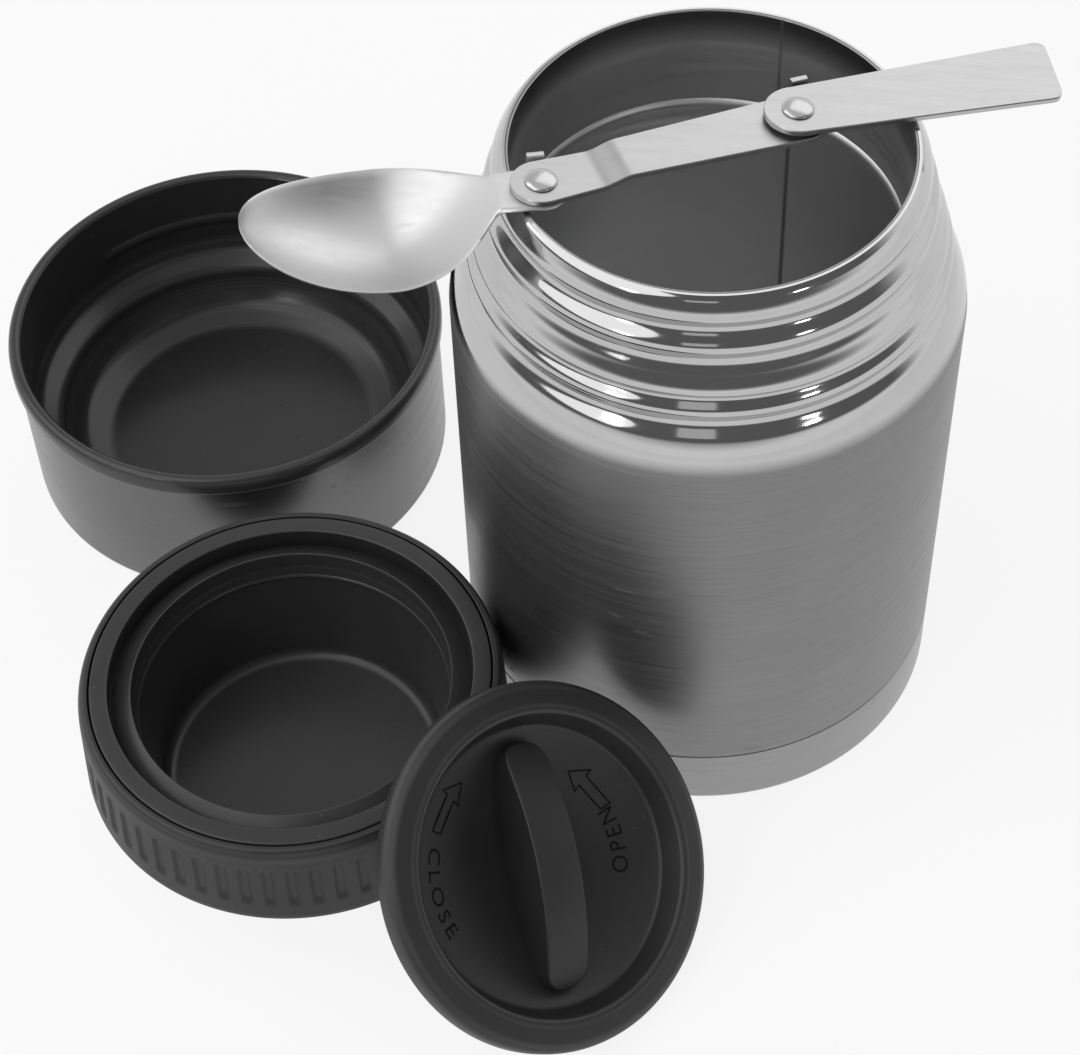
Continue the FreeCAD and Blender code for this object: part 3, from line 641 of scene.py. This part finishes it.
# Twist lid
twistLid = {"radius": 36.6, "edge": 4.2, "crown": 0.9, "well": 30.0, "wellFloor": 27.9, "wellDeep": 4.2,
            "dish": 10.2, "skin": 1.7, "skirt": 31.9, "skirtDeep": 8.2, "barHalf": 24.7, "barWide": 9.6,
            "barEnd": -3.4, "barCrown": 2.7, "barTurn": -30.3, "barFillet": 0.55, "barPower": 18,
            "barSunk": 0.8}


def dishAt(r, s):
    # Parabola from the dish's middle to the foot of the well wall
    return -s["dish"] + (s["dish"] - s["wellDeep"]) * (r / s["wellFloor"]) ** 2


def makeLid(s):
    r = np.linspace(0, s["wellFloor"] - 0.6, 26)
    dish = list(zip(r, dishAt(r, s)))
    below = [(a, b - s["skin"]) for a, b in dish[::-1]]
    outline = dish + [(s["wellFloor"] + 0.05, -s["wellDeep"] + 0.1, 0.6), (s["well"], s["crown"], 0.7),
                      (s["well"] + 1.4, s["crown"] + 0.05, 0.5), (s["radius"] - 1.4, 0.35, 0.8),
                      (s["radius"], -1.0, 1.2), (s["radius"], -s["edge"], 0.3),
                      (s["radius"] - 0.6, -s["edge"]), (33.0, -2.2), (s["skirt"], -2.2),
                      (s["skirt"], -s["skirtDeep"], 0.3), (s["skirt"] - 1.4, -s["skirtDeep"]),
                      (s["skirt"] - 1.4, -s["wellDeep"] - s["skin"])] + below
    points, faces, soft = latheChunk(outline[::-1])
    bar, barFaces = gripBar(s)
    edge = np.concatenate([soft.ravel(), np.zeros(len(bar))])
    makeMesh("lid_face", [(points, faces), (bar, barFaces)], "lid", "lid_top",
             plasticOf["lid"], 30, marks={"edge": edge})


def gripBar(s):
    # Stations along the bar: the top follows an arch, the plan's ends close on a superellipse, and each
    # cross-section is an upright with two rounded top corners that runs down into the dish
    half = s["barHalf"]
    x = half * np.sin(np.linspace(-pi / 2, pi / 2, 61))
    wide = 0.5 * s["barWide"] * np.clip(1 - np.abs(x / half) ** s["barPower"], 0.0, 1) ** 0.5
    wide = np.maximum(wide, 0.05)[:, None]
    bend = (half ** 2 + (s["barCrown"] - s["barEnd"]) ** 2) / (2 * (s["barCrown"] - s["barEnd"]))
    top = s["barCrown"] - bend + np.sqrt(bend ** 2 - x ** 2)
    fillet = np.minimum(s["barFillet"], wide * 0.9)
    t = np.linspace(0, pi / 2, 7)[None, :]
    base = (dishAt(np.abs(x), s) - s["barSunk"])[:, None]
    cornerY = wide - fillet + fillet * np.cos(t)
    cornerZ = top[:, None] - fillet + fillet * np.sin(t)
    y = np.concatenate([wide, cornerY, -cornerY[:, ::-1], -wide], 1)
    z = np.concatenate([base, cornerZ, cornerZ[:, ::-1], base], 1)
    sections = np.stack([np.repeat(x[:, None], y.shape[1], 1), y, z], -1)
    points, faces = skinChunk(sections)
    turn = np.array(turnBy(s["barTurn"], "Z"))[:3, :3]
    return points @ turn.T, faces


makeLid(twistLid)

# Words and arrows just above the lid's dish, bent round its axis. A word has its start and end in degrees
# and its radius; an arrow has its start, tip, radius and way round.
legends = {"words": [("OPEN", 48.6, 78.8, 20.0), ("CLOSE", 223.0, 260.0, 23.0)], "size": 4.6, "lift": 0.06,
           "arrows": [(84.0, 114.7, 20.7, 1), (212.0, 184.0, 23.4, -1)], "arrowLine": 0.32, "spacing": 1.25,
           "middle": 0.35, "overhang": 0.3, "shaft": 1.1, "headStart": 0.66, "headWide": 2.3}


def bendOnDish(along, height, start, radius, lift):
    # Point (along, height) of a flat drawing goes to angle start + along / radius and radius - height
    a = radians(start) + along / radius
    r = radius - height
    return np.stack([r * np.cos(a), r * np.sin(a), dishAt(r, twistLid) + lift], -1)


def wordChunk(word, start, end, radius, s):
    # A text curve is made a mesh, stretched to its arc and bent onto the dish
    curve = bpy.data.curves.new("legendCurve", "FONT")
    curve.body = word
    curve.size = 1.0
    curve.space_character = s["spacing"]
    curve.resolution_u = 4
    text = newObject("legendText", curve)
    bpy.context.view_layer.update()
    flat = bpy.data.meshes.new_from_object(text.evaluated_get(bpy.context.evaluated_depsgraph_get()))
    xy = np.empty(len(flat.vertices) * 3)
    flat.vertices.foreach_get("co", xy)
    xy = xy.reshape(-1, 3)
    over = s["size"] * s["overhang"]
    length = radians(end - start) * radius + 2 * over
    x = (xy[:, 0] - xy[:, 0].min()) / (xy[:, 0].max() - xy[:, 0].min()) * length - over
    y = (xy[:, 1] - s["middle"]) * s["size"]
    points = bendOnDish(x, y, start, radius, s["lift"])
    faces = [np.array([list(p.vertices)]) for p in flat.polygons]
    bpy.data.objects.remove(text)
    bpy.data.curves.remove(curve)
    bpy.data.meshes.remove(flat)
    return points, faces


def strokeChunk(path, half, start, radius, lift):
    # A ribbon of one width beside a polyline, drawn flat and then bent onto the dish
    p = np.array(path, float)
    step = np.diff(p, axis=0)
    unit = step / np.linalg.norm(step, axis=1)[:, None]
    side = np.stack([-unit[:, 1], unit[:, 0]], -1) * half
    quads = np.stack([p[:-1] - side - unit * half, p[1:] - side + unit * half,
                      p[1:] + side + unit * half, p[:-1] + side - unit * half], 1)
    flat = quads.reshape(-1, 2)
    points = bendOnDish(flat[:, 0], flat[:, 1], start, radius, lift)
    return points, [np.arange(len(flat)).reshape(-1, 4)]


def arrowPath(length, way, s):
    # The outline of an arrow: a shaft, then a head that is more than twice as wide
    tall, neck = s["shaft"], length * s["headStart"]
    head = s["headWide"] * tall
    path = [(0, -tall), (neck, -tall), (neck, -head), (length, 0.0), (neck, head), (neck, tall), (0, tall),
            (0, -tall)]
    return [(way * x, y) for x, y in path]


def makeLegends(s):
    chunks = [wordChunk(word, a, b, r, s) for word, a, b, r in s["words"]]
    for start, tip, radius, way in s["arrows"]:
        length = abs(radians(tip - start)) * radius
        chunks.append(strokeChunk(arrowPath(length, way, s), s["arrowLine"] / 2, start, radius, s["lift"]))
    makeMesh("lid_legends", chunks, "lid", None, plasticOf["legend"])


makeLegends(legends)
print("lid made")

# Folding spoon, in its own frame: link rivet at the origin, the link along +x. A tab lists its start and end
# along the strap, its two edges measured from the eye's rim, and its height over what it stops.
spoon = {"strap": 1.2, "runGap": 0.1, "joggle": 1.5, "reach": 50.1, "handleReach": 50.4, "linkHalf": 5.6,
         "linkWaist": 5.0, "linkFar": 6.3, "handleNear": 6.3, "handleFar": 8.1, "washer": 0.6,
         "bowlHalf": 16.1, "bowlMiddle": -29.0, "bowlTip": 25.6, "bowlNeck": -8.0, "neckHalf": 5.2,
         "bowlDeep": 7.2, "bowlDrop": 6.2, "tipDrop": 1.5, "sheet": 0.9, "bowlTurn": -10.0,
         "rearPower": 0.62, "depthPower": 0.8, "rimPower": 14, "bowlTab": (-1.4, 1.8, -1.4, 2.3, 1.4),
         "linkTab": (1.8, 5.0, -3.4, 1.9, 0.5), "tabLip": 1.4, "waistAt": 12, "joggleStart": 10,
         "joggleLong": 6, "handleTurn": -5.0,
         "handleCorner": 2.2, "handleSlant": 0.13, "head": 3.0, "headTall": 0.9, "headEdge": 0.12,
         "shank": 1.9, "foot": 0.3, "bevel": 0.18}


def makeBowl(s):
    # Half width and drop: a half ellipse at the tip and (1 - share squared) to a power at the neck, where the
    # width merges with the neck's by a fourth-power mean. Depth: the ellipse, then a power of a cosine.
    # Each section is a parabola with rounded rims.
    stations, across = 40, 49
    front = s["bowlMiddle"] - s["bowlTip"] * np.sin(np.linspace(pi / 2 * 0.995, 0, stations))
    neck = s["bowlNeck"] - s["bowlMiddle"]
    rear = s["bowlMiddle"] + neck * np.sin(np.linspace(0, pi / 2, stations))[1:]
    x = np.concatenate([front, rear])
    inFront = x < s["bowlMiddle"]
    oval = np.sqrt(1 - np.clip((s["bowlMiddle"] - x) / s["bowlTip"], 0, 1) ** 2)
    share = np.clip((x - s["bowlMiddle"]) / neck, 0, 1)
    closing = np.maximum(1 - share ** 2, 0) ** s["rearPower"]
    blend = (0.5 * (1 + np.cos(np.pi * share))) ** s["depthPower"]
    rearHalf = (s["neckHalf"] ** 4 + (s["bowlHalf"] * closing) ** 4) ** 0.25
    half = np.where(inFront, s["bowlHalf"] * oval, rearHalf)
    deep = s["bowlDeep"] * np.where(inFront, oval, blend)
    tipDrop = s["tipDrop"] + (s["bowlDrop"] - s["tipDrop"]) * oval ** 2
    drop = np.where(inFront, tipDrop, s["bowlDrop"] * closing * (0.35 + 0.65 * (1 - share ** 6)))
    thick = s["sheet"] + (s["strap"] - s["sheet"]) * share
    # The neck runs on as a flat strap and closes round the rivet
    eye = s["linkHalf"] * np.cos(np.linspace(pi, 0, 33)) * 0.999
    eye = eye[eye > -s["linkHalf"] * 0.35]
    eyeHalf = np.sqrt(np.maximum(s["linkHalf"] ** 2 - eye ** 2, 0.01))
    x = np.concatenate([x, eye])
    half = np.concatenate([half, np.where(eye < -2.0, s["neckHalf"], eyeHalf)])
    deep, drop = (np.concatenate([values, eye * 0]) for values in (deep, drop))
    thick = np.concatenate([thick, eye * 0 + s["strap"]])[:, None]
    u = np.linspace(-1, 1, across)[None, :]
    bowlTop = (s["strap"] - drop)[:, None] - deep[:, None] * (1 - u ** 2)
    eased = 0.5 * thick * (1 - np.sqrt(1 - np.abs(u) ** s["rimPower"]))
    y = half[:, None] * u
    xs = np.repeat(x[:, None], across, 1)
    above = np.stack([xs, y, bowlTop - eased], -1)
    below = np.stack([xs, y, bowlTop - thick + eased], -1)[:, ::-1][:, 1:-1]
    skin = skinChunk(np.concatenate([above, below], 1)[:, ::-1])
    tab = tabChunk(0, s["linkHalf"], 0.0, s["strap"], s["bowlTab"], s)
    makeMesh("spoon_scoop", [skin, tab], "spoon", "spoon_bowl", steelOf["spoonBowl"], 50,
             turnBy(s["bowlTurn"], "Z"))


def tabChunk(at, rim, low, stopped, tab, s):
    # A small upturned stop tab: a foot in the strap's plane and a lip standing up at its outer end
    y0, y1, top = rim + tab[2], rim + tab[3], stopped + tab[4]
    b, lip = s["bevel"], s["tabLip"]
    side = [(y0, low), (y1 - b, low), (y1, low + b), (y1, top - b), (y1 - b, top), (y1 - lip + b, top),
            (y1 - lip, top - b), (y1 - lip, low + s["strap"]), (y0, low + s["strap"])]
    return skinChunk(np.array([[(x, y, z) for y, z in side] for x in (at + tab[0], at + tab[1])]))


def plateChunk(x, left, right, low, s):
    # A strap of sheet: plan edges left(x) and right(x), underside low(x), corners eased by the bevel
    b, t = s["bevel"], s["strap"]
    ease = np.minimum(b, (left + right) * 0.2)  # less at the ends, where the plan closes
    y = np.stack([left - ease, left, left, left - ease, -right + ease, -right, -right, -right + ease], 1)
    z = np.stack([low, low + b, low + t - b, low + t, low + t, low + t - b, low + b, low], 1)
    sections = np.stack([np.repeat(x[:, None], 8, 1), y, z], -1)
    return skinChunk(sections)


def roundEnd(x, centre, radius):
    # Half width of a round eye, kept just above nothing at its end
    return np.sqrt(np.maximum(radius ** 2 - (x - centre) ** 2, 0.0004))


def makeLink(s):
    # Round eyes at both ends, a slight waist, and a joggle that steps the strap up over the bowl's neck
    low = s["strap"] + s["runGap"]
    start = s["linkHalf"] * np.sin(np.linspace(-pi / 2, 0, 18))
    end = s["reach"] + s["linkFar"] * np.sin(np.linspace(0, pi / 2, 18))
    bendStart, bendEnd = s["joggleStart"] - 1, s["joggleStart"] + s["joggleLong"] + 1
    x = np.concatenate([start, np.linspace(0, bendStart, 7)[1:], np.linspace(bendStart, bendEnd, 17)[1:],
                        np.linspace(bendEnd, s["reach"], 13)[1:-1], end])
    side = np.interp(x, [0, s["waistAt"], s["reach"]], [s["linkHalf"], s["linkWaist"], s["linkFar"]])
    side = np.where(x < 0, roundEnd(x, 0, s["linkHalf"]), side)
    side = np.where(x > s["reach"], roundEnd(x, s["reach"], s["linkFar"]), side)
    lift = np.clip((x - s["joggleStart"]) / s["joggleLong"], 0, 1)
    lift = lift * lift * (3 - 2 * lift) * s["joggle"]
    high = low + s["joggle"]
    stopped = high + 2 * s["strap"] + s["washer"]
    chunks = [plateChunk(x, side, side, low + lift, s),
              tabChunk(s["reach"], s["linkFar"], high, stopped, s["linkTab"], s)]
    makeMesh("spoon_link_strap", chunks, "link", "spoon_link", steelOf["strap"], 35)


def makeHandle(s):
    # Widens towards a straight end with rounded corners; its near end is round about the rivet
    low = 2 * s["strap"] + s["runGap"] + s["joggle"] + s["washer"] + 2 * s["runGap"]
    start = s["handleNear"] * np.sin(np.linspace(-pi / 2, 0, 20))
    corner, end = s["handleCorner"], s["handleReach"]
    tail = end - corner + corner * np.sin(np.linspace(0, pi / 2, 9))
    x = np.concatenate([start, np.linspace(0, end - corner, 22)[1:-1], tail])
    side = np.interp(x, [0, end], [s["handleNear"], s["handleFar"]])
    past = np.maximum(x - end + corner, 0)
    trim = corner - np.sqrt(np.maximum(corner ** 2 - past ** 2, 0))
    side = np.where(x < 0, roundEnd(x, 0, s["handleNear"]), side - trim)
    points, faces = plateChunk(x, side, side, np.full(len(x), low), s)
    # The far end is cut a little off square
    points[:, 0] += np.clip(points[:, 0] / end, 0, 1) ** 4 * points[:, 1] * s["handleSlant"]
    local = Matrix.Translation((s["reach"], 0, 0)) @ turnBy(s["handleTurn"], "Z")
    makeMesh("spoon_handle_strap", [(points, faces)], "handle", "spoon_handle",
             steelOf["strap"], 35, local)


def makeRivet(name, node, body, x, low, high, s):
    # Domed head above the straps, shank through them, thin closed head below
    top, foot = high + s["runGap"], low - 0.05
    dome = [(s["head"] * cos(t), top + s["headEdge"] + (s["headTall"] - s["headEdge"]) * sin(t))
            for t in np.linspace(0, pi / 2, 13)]
    dome[-1] = (0.0, top + s["headTall"])
    outline = [(0, foot - s["foot"]), (s["head"] - 0.1, foot - s["foot"], 0.1), (s["head"], foot, 0.1),
               (s["shank"], foot), (s["shank"], top), (s["head"], top)] + dome
    lathe(name, outline, body, node, steelOf["rivet"], 48, 40, Matrix.Translation((x, 0, 0)))


def makeSpoon(s):
    makeBowl(s)
    makeLink(s)
    makeHandle(s)
    linkLow = s["strap"] + s["runGap"] + s["joggle"]
    handleHigh = linkLow + 2 * s["strap"] + s["washer"] + 2 * s["runGap"]
    makeRivet("bowl_rivet", "link_rivet", "spoon", 0, 0, 2 * s["strap"] + s["runGap"], s)
    makeRivet("handle_rivet_head", "handle_rivet", "link", s["reach"], linkLow, handleHigh, s)
    low = linkLow + s["strap"] + s["runGap"]
    high, hole, rim = low + s["washer"], s["shank"] + 0.02, 4.2
    lathe("rivet_washer", [(hole, low), (rim, low, 0.15), (rim, high, 0.15), (hole, high)], "link",
          "spring_washer", steelOf["rivet"], 64, 40, Matrix.Translation((s["reach"], 0, 0)))


makeSpoon(spoon)
print("spoon made")

# Studio: pale floor, white surroundings, soft lamps, and the camera at the photograph's angle. A lamp lists
# its name, place, width and power. Ranges are of a direction's y or z, from none to full.
studio = {"floorHalf": 3.0, "floorLow": -0.0002, "floorShade": 0.80, "floorRough": 0.9, "floorWhite": 0.86,
          "fill": 0.45, "room": 0.15, "behind": 0.72, "roomSide": (0.25, -0.15), "roomAbove": (0.06, 0.22),
          "roomBelow": (0.97, 0.86), "overhead": (0.15, 0.55), "aim": (0.0, 0.0, 0.06), "lampDepth": 0.7,
          "lamps": [("key", (-0.80, -0.30, 1.00), 1.80, 10.0), ("window", (-0.52, -0.70, 0.50), 0.10, 0.40),
                    ("front", (-0.04, -0.95, 0.62), 0.26, 0.07), ("side", (0.66, -0.68, 0.50), 0.10, 0.30),
                    ("back", (0.45, 0.85, 1.00), 1.20, 2.6)]}
view = {"place": (0.0, -367.2, 481.8), "yaw": -5.35, "pitch": 50.89, "roll": 2.36, "lens": 90.17,
        "sensor": 36.0, "nearest": 0.01}


def seenRays(tree):
    # Camera rays alone, and camera rays with those from mirrors and through glass
    rays = tree.nodes.new("ShaderNodeLightPath").outputs
    bent = mathNode(tree, "MAXIMUM", rays["Is Glossy Ray"], rays["Is Transmission Ray"])
    return rays["Is Camera Ray"], mathNode(tree, "MAXIMUM", rays["Is Camera Ray"], bent)


def makeFloor(s):
    half, low = s["floorHalf"], s["floorLow"]
    mesh = bpy.data.meshes.new("floor")
    mesh.from_pydata([(-half, -half, low), (half, -half, low), (half, half, low), (-half, half, low)], [],
                     [(0, 1, 2, 3)])
    newObject("floor", mesh)
    material, tree, shader, _ = startMaterial("floorPaper")
    shader.inputs["Base Color"].default_value = shade(s["floorShade"])
    shader.inputs["Roughness"].default_value = s["floorRough"]
    white = addNode(tree, "ShaderNodeEmission", {"Color": shade(1.0), "Strength": 1.0})
    share = mathNode(tree, "MULTIPLY", seenRays(tree)[1], s["floorWhite"])
    mix = addNode(tree, "ShaderNodeMixShader", {0: share, 1: shader.outputs[0], 2: white.outputs[0]})
    tree.links.new(mix.outputs[0], tree.nodes["Material Output"].inputs["Surface"])
    mesh.materials.append(material)


def makeWorld(s):
    # Mirror-like metal sees bright surroundings behind and at the horizon, and a dim room in front
    world = bpy.data.worlds.new("surroundings")
    bpy.context.scene.world = world
    world.use_nodes = True
    tree = world.node_tree
    camera, seen = seenRays(tree)
    coords = tree.nodes.new("ShaderNodeTexCoord").outputs["Generated"]
    way = addNode(tree, "ShaderNodeSeparateXYZ", {0: coords})
    front = rangeOf(tree, way.outputs["Y"], s["roomSide"], easing="SMOOTHSTEP")
    raised = rangeOf(tree, way.outputs["Z"], s["roomAbove"], easing="SMOOTHSTEP")
    high = rangeOf(tree, way.outputs["Z"], s["roomBelow"], easing="SMOOTHSTEP")
    dim = mathNode(tree, "MULTIPLY", mathNode(tree, "MULTIPLY", front, raised), high)
    overhead = rangeOf(tree, way.outputs["Z"], s["overhead"], (1.0, s["behind"]), "SMOOTHSTEP")
    mirror = mixNumber(tree, dim, overhead, s["room"])
    level = mixNumber(tree, camera, mixNumber(tree, seen, s["fill"], mirror), 1.0)
    back = tree.nodes["Background"]
    back.inputs["Color"].default_value = shade(1.0)
    tree.links.new(level, back.inputs["Strength"])


def makeLamps(s):
    for name, place, size, power in s["lamps"]:
        lamp = bpy.data.lights.new(name, "AREA")
        lamp.shape = "RECTANGLE"
        lamp.size = size
        lamp.size_y = size * s["lampDepth"]
        lamp.energy = power
        aim = (Vector(s["aim"]) - Vector(place)).to_track_quat("-Z", "Y").to_matrix().to_4x4()
        newObject(name, lamp).matrix_world = Matrix.Translation(place) @ aim


def makeCamera(v):
    # Yaw and pitch turn the view, and roll turns the frame about it
    yaw, pitch, roll = (radians(v[key]) for key in ("yaw", "pitch", "roll"))
    look = Vector((sin(yaw) * cos(pitch), cos(yaw) * cos(pitch), -sin(pitch)))
    right = Vector((cos(yaw), -sin(yaw), 0))
    down = look.cross(right)
    across = cos(roll) * right + sin(roll) * down
    below = -sin(roll) * right + cos(roll) * down
    turn = Matrix((across, -below, -look)).transposed().to_4x4()
    camera = bpy.data.cameras.new("camera")
    camera.lens = v["lens"]
    camera.sensor_width = v["sensor"]
    camera.sensor_fit = "HORIZONTAL"
    camera.clip_start = v["nearest"]
    obj = newObject("camera", camera)
    obj.matrix_world = Matrix.Translation(Vector(v["place"]) * mm) @ turn
    bpy.context.scene.camera = obj


makeFloor(studio)
makeWorld(studio)
makeLamps(studio)
makeCamera(view)
bpy.context.scene.view_settings.view_transform = "Standard"
print("studio made")
